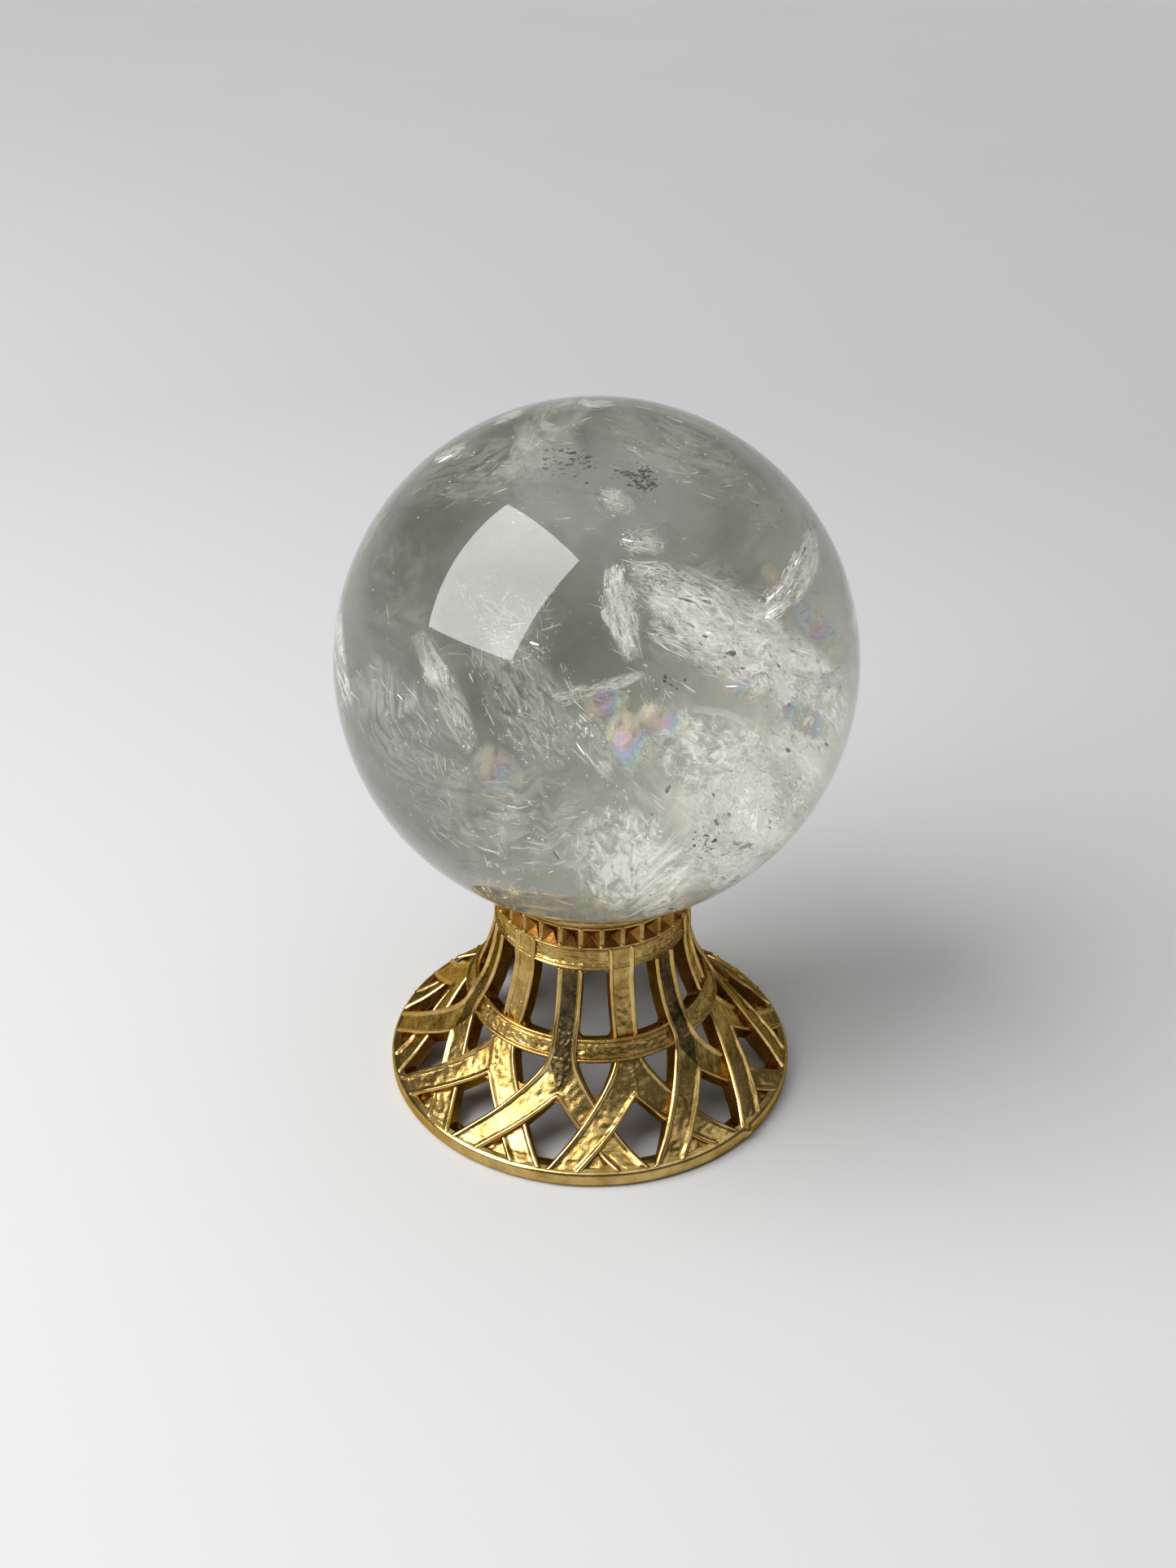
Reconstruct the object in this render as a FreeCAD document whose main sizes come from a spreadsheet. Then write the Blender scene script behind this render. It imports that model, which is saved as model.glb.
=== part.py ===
import FreeCAD, Part

# A crystal ball on an openwork cast stand. All lengths are in millimetres. The stand rests on Z = 0 with
# its axis on Z, rib 1 faces -Y, and the ribs count towards +X.
#
# The stand flares like a trumpet bell: its wall is a shell of revolution between two arcs of one centre,
# and every rib, ring and gusset is the part of that shell which lies under its plan outline. The wall has
# two layers. Where two pieces cross, the upper one keeps the outer layer and the lower one the inner
# layer, as in a half-lap joint, so that all pieces meet face to face and none overlap.

import math
import os

import Sketcher

OUTPUT_FOLDER = "parts"
RIB_TURN_DEG = 30.0  # twelve ribs
PAIR_TURN_DEG = 60.0  # they alternate, so each of the two kinds comes round six times
PAIRS = 6

# alias, value, meaning
DIMENSIONS = [
    ("ball_radius", 30.0, "crystal ball"),
    ("ball_centre_z", 57.1, "height of the ball's centre"),
    ("seat_gap", 0.15, "clearance between the ball and its seat"),
    ("base_radius", 25.5, "outside of the base rim"),
    ("rim_height", 2.1, "base rim, floor to top"),
    ("rim_width", 2.9, "base rim, inside to outside"),
    ("rim_round", 0.6, "rounding of the rim's outer edges"),
    ("neck_radius", 11.74, "outside of the wall at its narrowest level"),
    ("flare_radius", 26.3, "arc that the outside of the wall follows"),
    ("flare_centre_z", 25.0, "level of that arc's centre, where the wall stands upright"),
    ("layer", 0.9, "thickness of one of the wall's two layers"),
    ("mid_ring_bottom", 11.0, "middle ring"),
    ("mid_ring_top", 13.6, "middle ring"),
    ("collar_bottom", 21.9, "collar band"),
    ("bead_row_top", 28.1, "top of the bead row, which stands on the collar band"),
    ("bead_floor", 11.1, "radius at the bottom of the bead cells"),
    ("bead_wall_radius", 12.0, "outer edge of the walls between bead cells"),
    ("bead_wall_width", 0.5, "thickness of a wall between bead cells"),
    ("bead_count", 30, "bead cells round the neck"),
    ("lip_inside", 10.5, "seat lip, inside radius"),
    ("lip_outside", 12.1, "seat lip, outside radius"),
    ("lip_top", 29.3, "top of the seat lip"),
    ("rib_width", 3.2, "upright part of a rib"),
    ("rib_start", 6.0, "plan radius where a rib's outline starts, inside the neck"),
    ("rib_split", 17.3, "plan radius where the upright part ends in two legs"),
    ("leg_width", 3.0, "leg of a rib"),
    ("bow_radius", 45.0, "plan radius of a leg's centre line"),
    ("bow_across", 28.2, "centre of that arc, across from the rib's middle line"),
    ("bow_behind", 18.6, "centre of that arc, behind the stand's axis"),
    ("leg_reach", 14.0, "how far across a leg's outline runs, past the rim"),
    ("gusset_point", 22.5, "plan radius of a gusset's point"),
    ("gusset_width", 7.0, "width of a gusset's outline at the rim"),
    ("gusset_sink", 0.35, "how far a gusset's face lies below the wall's face"),
]

doc = FreeCAD.newDocument("crystal_ball")
sheet = doc.addObject("Spreadsheet::Sheet", "Dimensions")
for row, (alias, number, meaning) in enumerate(DIMENSIONS, start=1):
    sheet.set(f"A{row}", alias)
    sheet.set(f"B{row}", str(number))
    sheet.set(f"C{row}", meaning)
    sheet.setAlias(f"B{row}", alias)
doc.recompute()


def linked(expression):
    """The expression with every alias of the spreadsheet written in full, as other objects need it."""
    aliases = {alias for alias, _, _ in DIMENSIONS}
    words = expression.replace("(", "( ").replace(")", " )").split()
    return " ".join("Dimensions." + word if word in aliases else word for word in words)


def number_of(expression):
    """The number that an expression of the spreadsheet's aliases stands for."""
    return float(sheet.evalExpression(linked(expression)))


def new_object(kind, label):
    item = doc.addObject(kind, label)
    item.Label = label
    return item


# ---- sketches -------------------------------------------------------------------------------------------


def origin_of(body, role):
    """One of the planes or axes of the body's own origin."""
    return next(item for item in body.Origin.OriginFeatures if item.Role == role)


def sketch_on(body, plane, name="sketch"):
    """A new sketch on one of the body's own origin planes."""
    sketch = body.newObject("Sketcher::SketchObject", f"{body.Label}_{name}")
    sketch.AttachmentSupport = [(origin_of(body, plane), "")]
    sketch.MapMode = "FlatFace"
    return sketch


def fix(sketch, *constraints):
    for constraint in constraints:
        sketch.addConstraint(Sketcher.Constraint(*constraint))


def bind(sketch, name, expression, *constraint):
    """Adds a dimension to the sketch, driven by the spreadsheet."""
    index = sketch.addConstraint(Sketcher.Constraint(*constraint, number_of(expression)))
    sketch.renameConstraint(index, name)
    sketch.setExpression("Constraints." + name, linked(expression))


def polygon(sketch, corners):
    """A closed outline of straight lines, whose corner k is point 1 of line k."""
    points = [FreeCAD.Vector(x, y, 0) for x, y in corners]
    count = len(points)
    for k in range(count):
        sketch.addGeometry(Part.LineSegment(points[k], points[(k + 1) % count]))
    for k in range(count):
        fix(sketch, ("Coincident", k, 2, (k + 1) % count, 1))


def rectangle(sketch, left, right, bottom, top):
    """A rectangle between four expressions."""
    x0, x1, y0, y1 = (number_of(side) for side in (left, right, bottom, top))
    polygon(sketch, [(x0, y0), (x1, y0), (x1, y1), (x0, y1)])
    fix(sketch, ("Horizontal", 0), ("Horizontal", 2), ("Vertical", 1), ("Vertical", 3))
    bind(sketch, "left", left, "DistanceX", -1, 1, 0, 1)
    bind(sketch, "right", right, "DistanceX", -1, 1, 1, 1)
    bind(sketch, "bottom", bottom, "DistanceY", -1, 1, 0, 1)
    bind(sketch, "top", top, "DistanceY", -1, 1, 2, 1)


def arc(centre, radius, first_angle, last_angle):
    circle = Part.Circle(FreeCAD.Vector(*centre, 0), FreeCAD.Vector(0, 0, 1), radius)
    return Part.ArcOfCircle(circle, first_angle, last_angle)


# ---- bodies and booleans --------------------------------------------------------------------------------


def revolved(body, sketch):
    feature = body.newObject("PartDesign::Revolution", body.Label + "_turned")
    feature.Profile = sketch
    feature.ReferenceAxis = (sketch, ["V_Axis"])
    feature.Angle = 360.0
    return body


def raised(body, sketch, height):
    feature = body.newObject("PartDesign::Pad", body.Label + "_raised")
    feature.Profile = sketch
    feature.setExpression("Length", linked(height))
    return feature


def ring(label, inside, outside, bottom, top):
    """A ring of rectangular section."""
    body = new_object("PartDesign::Body", label)
    sketch = sketch_on(body, "XZ_Plane")
    rectangle(sketch, inside, outside, bottom, top)
    return revolved(body, sketch)


def shell(label, outer_depth, inner_depth, bottom, top):
    """The flared wall between two depths below its outside, and between two levels."""
    centre = (number_of("neck_radius + flare_radius"), number_of("flare_centre_z"))
    levels = (number_of(bottom), number_of(top))
    body = new_object("PartDesign::Body", label)
    sketch = sketch_on(body, "XZ_Plane")
    ends = []
    for depth in (outer_depth, inner_depth):
        radius = number_of(f"flare_radius + {depth}")
        low, high = (math.pi + math.asin((centre[1] - z) / radius) for z in levels)
        sketch.addGeometry(arc(centre, radius, high, low))
        ends.append([(centre[0] + radius * math.cos(a), z) for a, z in ((low, levels[0]), (high, levels[1]))])
    for outer_end, inner_end in zip(*ends):
        sketch.addGeometry(Part.LineSegment(*(FreeCAD.Vector(*end, 0) for end in (outer_end, inner_end))))
    # Both arcs start at the top and end at the bottom. Line 2 is the bottom edge and line 3 the top edge.
    fix(sketch, ("Coincident", 0, 3, 1, 3))
    fix(sketch, ("Coincident", 0, 2, 2, 1), ("Coincident", 1, 2, 2, 2))
    fix(sketch, ("Coincident", 0, 1, 3, 1), ("Coincident", 1, 1, 3, 2))
    fix(sketch, ("Horizontal", 2), ("Horizontal", 3))
    bind(sketch, "centre_x", "neck_radius + flare_radius", "DistanceX", -1, 1, 0, 3)
    bind(sketch, "centre_z", "flare_centre_z", "DistanceY", -1, 1, 0, 3)
    bind(sketch, "outer_arc", f"flare_radius + {outer_depth}", "Radius", 0)
    bind(sketch, "inner_arc", f"flare_radius + {inner_depth}", "Radius", 1)
    bind(sketch, "bottom", bottom, "DistanceY", -1, 1, 2, 1)
    bind(sketch, "top", top, "DistanceY", -1, 1, 3, 1)
    return revolved(body, sketch)


def boolean(kind, label, base, *tools):
    """The base with the tools cut away (Part::Cut), or what it shares with them (Part::Common)."""
    result = base
    for index, tool in enumerate(tools, start=1):
        step = new_object(kind, label if index == len(tools) else f"{label}_step_{index}")
        step.Base, step.Tool = result, tool
        result = step
    return result


def fused(label, *shapes):
    union = new_object("Part::MultiFuse", label)
    union.Shapes = list(shapes)
    return union


def turned(label, source, degrees):
    """The source turned about the stand's axis, counting towards +X from -Y."""
    copy = new_object("Part::Compound", label)
    copy.Links = [source]
    copy.Placement = FreeCAD.Placement(FreeCAD.Vector(), FreeCAD.Rotation(FreeCAD.Vector(0, 0, 1), degrees))
    return copy


def all_round(label, source, first_angle, step, count):
    """One object that holds the source at equal steps round the axis."""
    group = new_object("Part::Compound", label)
    group.Links = [turned(f"{label}_{k + 1}_of_{count}", source, first_angle + k * step) for k in range(count)]
    return group


# ---- plan outlines, raised to prisms that are taller than the stand --------------------------------------


def upright_plan():
    """The upright part of a rib: a strip of constant width, from inside the neck to where it splits."""
    body = new_object("PartDesign::Body", "upright_plan")
    sketch = sketch_on(body, "XY_Plane")
    rectangle(sketch, "-1 * rib_width / 2", "rib_width / 2", "-1 * rib_split", "-1 * rib_start")
    raised(body, sketch, "lip_top")
    return body


def leg_plan(label, side):
    """One leg of a rib: a bowed strip that leaves the middle line and runs out past the rim.

    side is +1 for the right leg, towards +X, and -1 for the left leg.
    """
    centre = (side * number_of("bow_across"), number_of("bow_behind"))
    reach = side * number_of("leg_reach")
    radii = [number_of(f"bow_radius {sign} leg_width / 2") for sign in ("-", "+")]
    near = math.atan2(-math.sqrt(radii[0] ** 2 - centre[0] ** 2), -centre[0]) % (2 * math.pi)
    far = math.atan2(-math.sqrt(radii[0] ** 2 - (reach - centre[0]) ** 2), reach - centre[0]) % (2 * math.pi)
    first, last = sorted((near, far))
    near_end, far_end = (1, 2) if side > 0 else (2, 1)
    body = new_object("PartDesign::Body", label)
    sketch = sketch_on(body, "XY_Plane")
    for radius in radii:
        sketch.addGeometry(arc(centre, radius, first, last))
    for angle in (near, far):
        ends = [(centre[0] + r * math.cos(angle), centre[1] + r * math.sin(angle), 0) for r in radii]
        sketch.addGeometry(Part.LineSegment(*(FreeCAD.Vector(*end) for end in ends)))
    # Arc 0 is the upper border and arc 1 the lower one. Lines 2 and 3 are the near and far ends.
    fix(sketch, ("Coincident", 0, 3, 1, 3))
    fix(sketch, ("Coincident", 0, near_end, 2, 1), ("Coincident", 1, near_end, 2, 2))
    fix(sketch, ("Coincident", 0, far_end, 3, 1), ("Coincident", 1, far_end, 3, 2))
    fix(sketch, ("PointOnObject", 0, 3, 2), ("PointOnObject", 0, 3, 3))
    fix(sketch, ("PointOnObject", 2, 1, -2))
    bind(sketch, "across", f"{side} * bow_across", "DistanceX", -1, 1, 0, 3)
    bind(sketch, "behind", "bow_behind", "DistanceY", -1, 1, 0, 3)
    bind(sketch, "upper_border", "bow_radius - leg_width / 2", "Radius", 0)
    bind(sketch, "lower_border", "bow_radius + leg_width / 2", "Radius", 1)
    bind(sketch, "reach", f"{side} * leg_reach", "DistanceX", -1, 1, 3, 1)
    raised(body, sketch, "lip_top")
    return body


def gusset_plan():
    """A triangle with its point towards the axis and its foot on the rim."""
    point, half, foot = (number_of(e) for e in ("gusset_point", "gusset_width / 2", "base_radius"))
    body = new_object("PartDesign::Body", "gusset_plan")
    sketch = sketch_on(body, "XY_Plane")
    polygon(sketch, [(0, -point), (-half, -foot), (half, -foot)])
    fix(sketch, ("PointOnObject", 0, 1, -2), ("Symmetric", 1, 1, 2, 1, -2))
    bind(sketch, "point", "-1 * gusset_point", "DistanceY", -1, 1, 0, 1)
    bind(sketch, "foot", "-1 * base_radius", "DistanceY", -1, 1, 1, 1)
    bind(sketch, "width", "gusset_width", "DistanceX", 1, 1, 2, 1)
    raised(body, sketch, "lip_top")
    return body


# ---- the stand's wall -----------------------------------------------------------------------------------

upright = upright_plan()
left_leg, right_leg = leg_plan("left_leg_plan", -1), leg_plan("right_leg_plan", 1)
rib_plan = fused("rib_plan", upright, left_leg, right_leg)

# The layers as cutting tools: each stands out past its own side of the wall, and past its top and bottom.
outer_layer = shell("outer_layer", "-1 * layer", "layer", "rim_height - layer", "flare_centre_z + layer")
inner_layer = shell("inner_layer", "layer", "3 * layer", "rim_height - layer", "flare_centre_z + layer")
upper_rib_notch = boolean("Part::Common", "upper_rib_notch", rib_plan, outer_layer)
lower_rib_notch = boolean("Part::Common", "lower_rib_notch", rib_plan, inner_layer)
left_leg_notch = boolean("Part::Common", "left_leg_notch", left_leg, outer_layer)
right_leg_notch = boolean("Part::Common", "right_leg_notch", right_leg, inner_layer)


def rib(label, top, ring_notches):
    """A rib facing -Y, up to the level given by top. Its left leg lies over its neighbours' right legs."""
    wall = shell(label + "_wall", "0 * layer", "2 * layer", "rim_height", top)
    whole = boolean("Part::Common", label + "_whole", wall, rib_plan)
    crossings = [turned(f"{label}_under_leg_{k}", left_leg_notch, k * RIB_TURN_DEG) for k in (1, 2)]
    crossings += [turned(f"{label}_over_leg_{k}", right_leg_notch, -k * RIB_TURN_DEG) for k in (1, 2)]
    return boolean("Part::Cut", label, whole, *crossings, *ring_notches)


# An over rib passes over the middle ring and stops under the collar band. An under rib passes under the
# middle ring and over the collar band, up to the bead row.
under_ring = shell("under_ring_space", "layer", "3 * layer", "mid_ring_bottom", "mid_ring_top")
over_ring = shell("over_ring_space", "-1 * layer", "layer", "mid_ring_bottom", "mid_ring_top")
under_collar = shell("under_collar_space", "layer", "3 * layer", "collar_bottom", "flare_centre_z + layer")
over_rib = rib("over_rib", "collar_bottom", [under_ring])
under_rib = rib("under_rib", "flare_centre_z", [over_ring, under_collar])

over_angles = [k * PAIR_TURN_DEG for k in range(PAIRS)]
under_angles = [RIB_TURN_DEG + angle for angle in over_angles]
ribs = [turned(f"rib_over_{k}", over_rib, angle) for k, angle in enumerate(over_angles, start=1)]
ribs += [turned(f"rib_under_{k}", under_rib, angle) for k, angle in enumerate(under_angles, start=1)]

mid_ring = boolean(
    "Part::Cut", "mid_ring",
    shell("mid_ring_wall", "0 * layer", "2 * layer", "mid_ring_bottom", "mid_ring_top"),
    all_round("upper_rib_notches", upper_rib_notch, 0.0, PAIR_TURN_DEG, PAIRS),
    all_round("lower_rib_notches", lower_rib_notch, RIB_TURN_DEG, PAIR_TURN_DEG, PAIRS),
)
collar_band = boolean(
    "Part::Cut", "collar_band",
    shell("collar_wall", "0 * layer", "2 * layer", "collar_bottom", "flare_centre_z"),
    all_round("collar_notches", upper_rib_notch, RIB_TURN_DEG, PAIR_TURN_DEG, PAIRS),
)

# A gusset fills the corner under each crossing, between the two legs and the rim.
gusset_wall = shell("gusset_wall", "gusset_sink", "2 * layer", "rim_height", "mid_ring_bottom")
gusset = boolean(
    "Part::Cut", "gusset",
    boolean("Part::Common", "gusset_whole", gusset_wall, gusset_plan()),
    turned("leg_right_of_gusset", left_leg, RIB_TURN_DEG / 2),
    turned("leg_left_of_gusset", right_leg, -RIB_TURN_DEG / 2),
)
rim_gussets = all_round("rim_gussets", gusset, RIB_TURN_DEG / 2, RIB_TURN_DEG, 2 * PAIRS)

# ---- the stand's rings ----------------------------------------------------------------------------------


def base_rim_body():
    """The ring that the stand rests on, with its outer edges rounded."""
    body = ring("base_rim", "base_radius - rim_width", "base_radius", "0 * layer", "rim_height")
    doc.recompute()
    blank, outside = body.Tip, number_of("base_radius")
    outer_edges = [
        f"Edge{k}" for k, edge in enumerate(blank.Shape.Edges, start=1)
        if isinstance(edge.Curve, Part.Circle) and math.isclose(edge.Curve.Radius, outside)
    ]
    fillet = body.newObject("PartDesign::Fillet", "base_rim_rounding")
    fillet.Base = (blank, outer_edges)
    fillet.setExpression("Radius", linked("rim_round"))
    body.Tip = fillet
    return body


def bead_row_body():
    """A ring with thin upright walls round its outside, which leave a square cell between each two."""
    body = ring("bead_row", "neck_radius - 2 * layer", "bead_floor", "flare_centre_z", "bead_row_top")
    sketch = sketch_on(body, "XZ_Plane", "cell_wall")
    rectangle(sketch, "bead_floor - bead_wall_width", "bead_wall_radius", "flare_centre_z", "bead_row_top")
    wall = raised(body, sketch, "bead_wall_width")
    wall.Midplane = True
    pattern = body.newObject("PartDesign::PolarPattern", "cell_walls")
    pattern.Originals = [wall]
    pattern.Axis = (origin_of(body, "Z_Axis"), [""])
    pattern.Angle = 360.0
    pattern.setExpression("Occurrences", linked("bead_count"))
    body.Tip = pattern
    return body


base_rim = base_rim_body()
bead_row = bead_row_body()

# ---- the ball and its seat ------------------------------------------------------------------------------


def sphere(label, radius):
    ball = new_object("Part::Sphere", label)
    ball.setExpression("Radius", linked(radius))
    ball.setExpression(".Placement.Base.z", linked("ball_centre_z"))
    return ball


crystal_ball = sphere("crystal_ball", "ball_radius")
seat_lip = boolean(
    "Part::Cut", "seat_lip",
    ring("seat_lip_blank", "lip_inside", "lip_outside", "bead_row_top", "lip_top"),
    sphere("seat_space", "ball_radius + seat_gap"),
)

# ---- check and write ------------------------------------------------------------------------------------

doc.recompute()
failed = [item.Label for item in doc.Objects if "Invalid" in item.State or "Error" in item.State]
if failed:
    raise RuntimeError("these objects failed: " + ", ".join(failed))

subparts = [crystal_ball, seat_lip, bead_row, collar_band, mid_ring, base_rim, rim_gussets, *ribs]
os.makedirs(OUTPUT_FOLDER, exist_ok=True)
for item in subparts:
    shape = item.Shape
    if shape.isNull() or not shape.isValid() or not shape.Solids:
        raise RuntimeError(item.Label + " has no valid solid")
    shape.exportStep(os.path.join(OUTPUT_FOLDER, item.Label + ".step"))
    print(f"{item.Label}: {len(shape.Solids)} solid(s), {shape.Volume:.1f} cubic mm")
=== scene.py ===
"""The looks of a crystal ball on its openwork gold stand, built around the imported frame.

Lengths are in metres. Azimuths count from -Y towards +X."""

import math
import random

import bmesh
import bpy
import numpy as np
from mathutils import Matrix, Vector, noise


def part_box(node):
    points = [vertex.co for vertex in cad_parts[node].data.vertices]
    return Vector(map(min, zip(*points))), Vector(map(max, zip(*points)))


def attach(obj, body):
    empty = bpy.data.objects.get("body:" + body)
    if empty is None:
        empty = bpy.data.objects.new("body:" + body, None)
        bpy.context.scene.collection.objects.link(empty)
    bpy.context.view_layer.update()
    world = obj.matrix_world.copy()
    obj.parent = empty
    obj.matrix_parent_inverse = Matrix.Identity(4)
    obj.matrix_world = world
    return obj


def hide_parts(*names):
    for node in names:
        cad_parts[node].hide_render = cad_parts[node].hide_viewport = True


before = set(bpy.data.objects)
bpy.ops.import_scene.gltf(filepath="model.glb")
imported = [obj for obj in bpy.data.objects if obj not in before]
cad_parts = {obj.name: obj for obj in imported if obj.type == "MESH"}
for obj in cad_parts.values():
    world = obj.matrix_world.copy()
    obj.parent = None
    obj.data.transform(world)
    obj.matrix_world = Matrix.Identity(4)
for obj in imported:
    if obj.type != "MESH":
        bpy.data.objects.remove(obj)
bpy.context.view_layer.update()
scene = bpy.context.scene

MM = 0.001
BODY_STAND, BODY_BALL = "stand", "ball"

# ---- sizes ----

BASE_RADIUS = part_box("base_rim")[1].x
RIM_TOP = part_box("base_rim")[1].z
RING_BOTTOM, RING_TOP = (corner.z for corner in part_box("mid_ring"))
COLLAR_BOTTOM, COLLAR_TOP = (corner.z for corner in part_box("collar_band"))
BEAD_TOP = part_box("bead_row")[1].z
BEAD_WALL_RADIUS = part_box("bead_row")[1].x
LIP_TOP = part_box("seat_lip")[1].z
LIP_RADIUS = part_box("seat_lip")[1].x
BALL_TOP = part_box("crystal_ball")[1].z
BALL_RADIUS = (BALL_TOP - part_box("crystal_ball")[0].z) / 2
BALL_CENTRE = Vector((0, 0, BALL_TOP - BALL_RADIUS))

# The flared wall's outside is an arc in the (radius, z) plane, and these are the frame's own sizes.
FLARE_RADIUS = 26.3 * MM
NECK_RADIUS = 11.74 * MM
FLARE_CENTRE = (NECK_RADIUS + FLARE_RADIUS, COLLAR_TOP)
WALL = 1.8 * MM
RIB_HALF_WIDTH = 1.6 * MM
LEG_HALF_WIDTH = 1.6 * MM
BOW_RADIUS = 45.0 * MM
BOW_ACROSS, BOW_BEHIND = 28.2 * MM, 18.6 * MM
FOOT_RADIUS = 25.15 * MM
RIB_TURN = math.radians(30)
RIB_COUNT = 12
BEAD_COUNT = 30

# Relief of the casting: a rounded border along every edge and a sunk, hammered flat between.
BORDER_WIDTH = 0.58 * MM
BORDER_TOP = 0.20 * MM
FLAT_LEVEL = -0.10 * MM
WEAVE = 0.30 * MM


# ---- the flared wall ----


def along_at_level(z):
    """Arc length down the wall from the foot of the bead row to a level."""
    return FLARE_RADIUS * np.arcsin((FLARE_CENTRE[1] - z) / FLARE_RADIUS)


def along_at_radius(radius):
    """Arc length down the wall to a radius of its outside."""
    return FLARE_RADIUS * np.arccos((FLARE_CENTRE[0] - radius) / FLARE_RADIUS)


def at_azimuth(azimuth, radius, z):
    """Points by their azimuth, their distance from the axis and their level."""
    return np.stack(np.broadcast_arrays(radius * np.sin(azimuth), -radius * np.cos(azimuth), z), axis=-1)


def wall_section(along, height):
    """Radius and level of points of the wall: along is the arc length down it, and height the distance
    out from its outside."""
    turn = along / FLARE_RADIUS
    reach = FLARE_RADIUS - height
    return FLARE_CENTRE[0] - reach * np.cos(turn), FLARE_CENTRE[1] - reach * np.sin(turn)


def on_wall(lateral, along, height, angle):
    """Points of the wall. lateral is the distance across from the middle line at the azimuth angle."""
    face_radius, _ = wall_section(along, 0)
    return at_azimuth(angle + np.arcsin(lateral / face_radius), *wall_section(along, height))


def turned(points, angle):
    """The points turned about Z, counting towards +X from -Y."""
    c, s = math.cos(angle), math.sin(angle)
    return points @ np.array([[c, s, 0], [-s, c, 0], [0, 0, 1]])


# ---- meshes ----


def fractal(points, size, octaves=3, offset=0.0):
    """Smooth noise of about -1 to 1 whose largest lumps have the given size."""
    flat = np.asarray(points, float).reshape(-1, 3) / size + offset
    values = [noise.fractal(Vector(p), 1.0, 2.0, octaves) for p in flat]
    return np.array(values).reshape(np.asarray(points).shape[:-1])


def smooth_step(low, high, x):
    ratio = np.clip((x - low) / (high - low), 0, 1)
    return ratio * ratio * (3 - 2 * ratio)


def bell(x, centre, width):
    """A smooth bump of height 1."""
    return np.exp(-(((x - centre) / width) ** 2))


def total(blocks):
    """How many vertices the blocks hold."""
    return sum(len(block) for block in blocks)


def neighbours(loop):
    """Each item of a closed loop with the next one."""
    return zip(loop, [*loop[1:], loop[0]])


def grid_faces(rows, columns, start=0, flip=False):
    """Quads of a grid of vertices stored row by row."""
    faces = []
    for i in range(rows - 1):
        for j in range(columns - 1):
            a = start + i * columns + j
            quad = (a, a + 1, a + columns + 1, a + columns)
            faces.append(quad[::-1] if flip else quad)
    return faces


def shell_faces(rows, columns, start):
    """Faces of a thin closed shell: a grid, a second grid stored after it, and the wall round both."""
    back = start + rows * columns
    rim = list(range(columns)) + [i * columns + columns - 1 for i in range(1, rows)]
    rim += [(rows - 1) * columns + j for j in range(columns - 2, -1, -1)]
    rim += [i * columns for i in range(rows - 2, 0, -1)]
    faces = grid_faces(rows, columns, start) + grid_faces(rows, columns, back, flip=True)
    return faces + [(start + a, start + b, back + b, back + a) for a, b in neighbours(rim)]


def point_values(mesh, name, values):
    """Stores one number for each vertex, which materials can read by its name."""
    attribute = mesh.attributes.new(name, "FLOAT", "POINT")
    attribute.data.foreach_set("value", values)


def linked(name, data):
    """A new object of the scene."""
    made = bpy.data.objects.new(name, data)
    scene.collection.objects.link(made)
    return made


def smooth_piece(name, work, material):
    """A smooth object made of a finished bmesh."""
    for face in work.faces:
        face.smooth = True
    mesh = bpy.data.meshes.new(name)
    work.to_mesh(mesh)
    work.free()
    mesh.materials.append(material)
    return linked(name, mesh)


def new_piece(name, vertices, faces, materials, slots=None, merge=None, smooth=True):
    """A mesh object. slots gives each face's material, and merge the distance under which vertices join."""
    mesh = bpy.data.meshes.new(name)
    mesh.from_pydata([tuple(v) for v in vertices], [], faces)
    for material in materials:
        mesh.materials.append(material)
    if slots is not None:
        mesh.polygons.foreach_set("material_index", slots)
    work = bmesh.new()
    work.from_mesh(mesh)
    if merge:
        bmesh.ops.remove_doubles(work, verts=work.verts, dist=merge)
    bmesh.ops.recalc_face_normals(work, faces=work.faces)
    for face in work.faces:
        face.smooth = smooth
    work.to_mesh(mesh)
    work.free()
    return linked(name, mesh)


def stand_piece(piece, *nodes):
    """Makes a piece of the stand ride on it in place of its CAD nodes."""
    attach(piece, BODY_STAND)
    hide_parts(*nodes)


# ---- relief ----


def border_profile(distance):
    """Height of the surface over the wall's outside, by distance from the piece's nearest edge."""
    ratio = np.clip(distance / BORDER_WIDTH, 0, 1)
    ridge = np.sin(np.pi * ratio) ** 0.7 * (BORDER_TOP - FLAT_LEVEL)
    return FLAT_LEVEL + ridge - 0.04 * MM * bell(distance, 1.15 * BORDER_WIDTH, 0.12 * MM)


def hammered(points, distance):
    """Lumps of the rough casting: full on the flats and faint on the borders."""
    on_flat = smooth_step(0.8 * BORDER_WIDTH, 1.5 * BORDER_WIDTH, distance)
    coarse = fractal(points, 1.6 * MM, 2)
    fine = fractal(points, 0.55 * MM, 2, offset=11.0)
    return on_flat * (0.10 * MM * coarse + 0.11 * MM * fine) + (1 - on_flat) * 0.03 * MM * coarse


# ---- ribs ----


def bow_out(across, radius):
    """Plan distance out from the axis of a leg's border, by the distance across from the middle line."""
    return -BOW_BEHIND + np.sqrt(radius**2 - (across - BOW_ACROSS) ** 2)


LEG_REACH = 14 * MM


def leg_border(radius, first_across, count):
    """One border of the right leg, out to the rim, as (lateral, along) points."""
    across = np.linspace(first_across, LEG_REACH, 400)
    reach = np.hypot(across, bow_out(across, radius))
    last = np.interp(FOOT_RADIUS, reach, across)
    across = np.linspace(first_across, last, count)
    reach = np.hypot(across, bow_out(across, radius))
    return np.stack([across, along_at_radius(np.minimum(reach, FOOT_RADIUS))], axis=-1)


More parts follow.
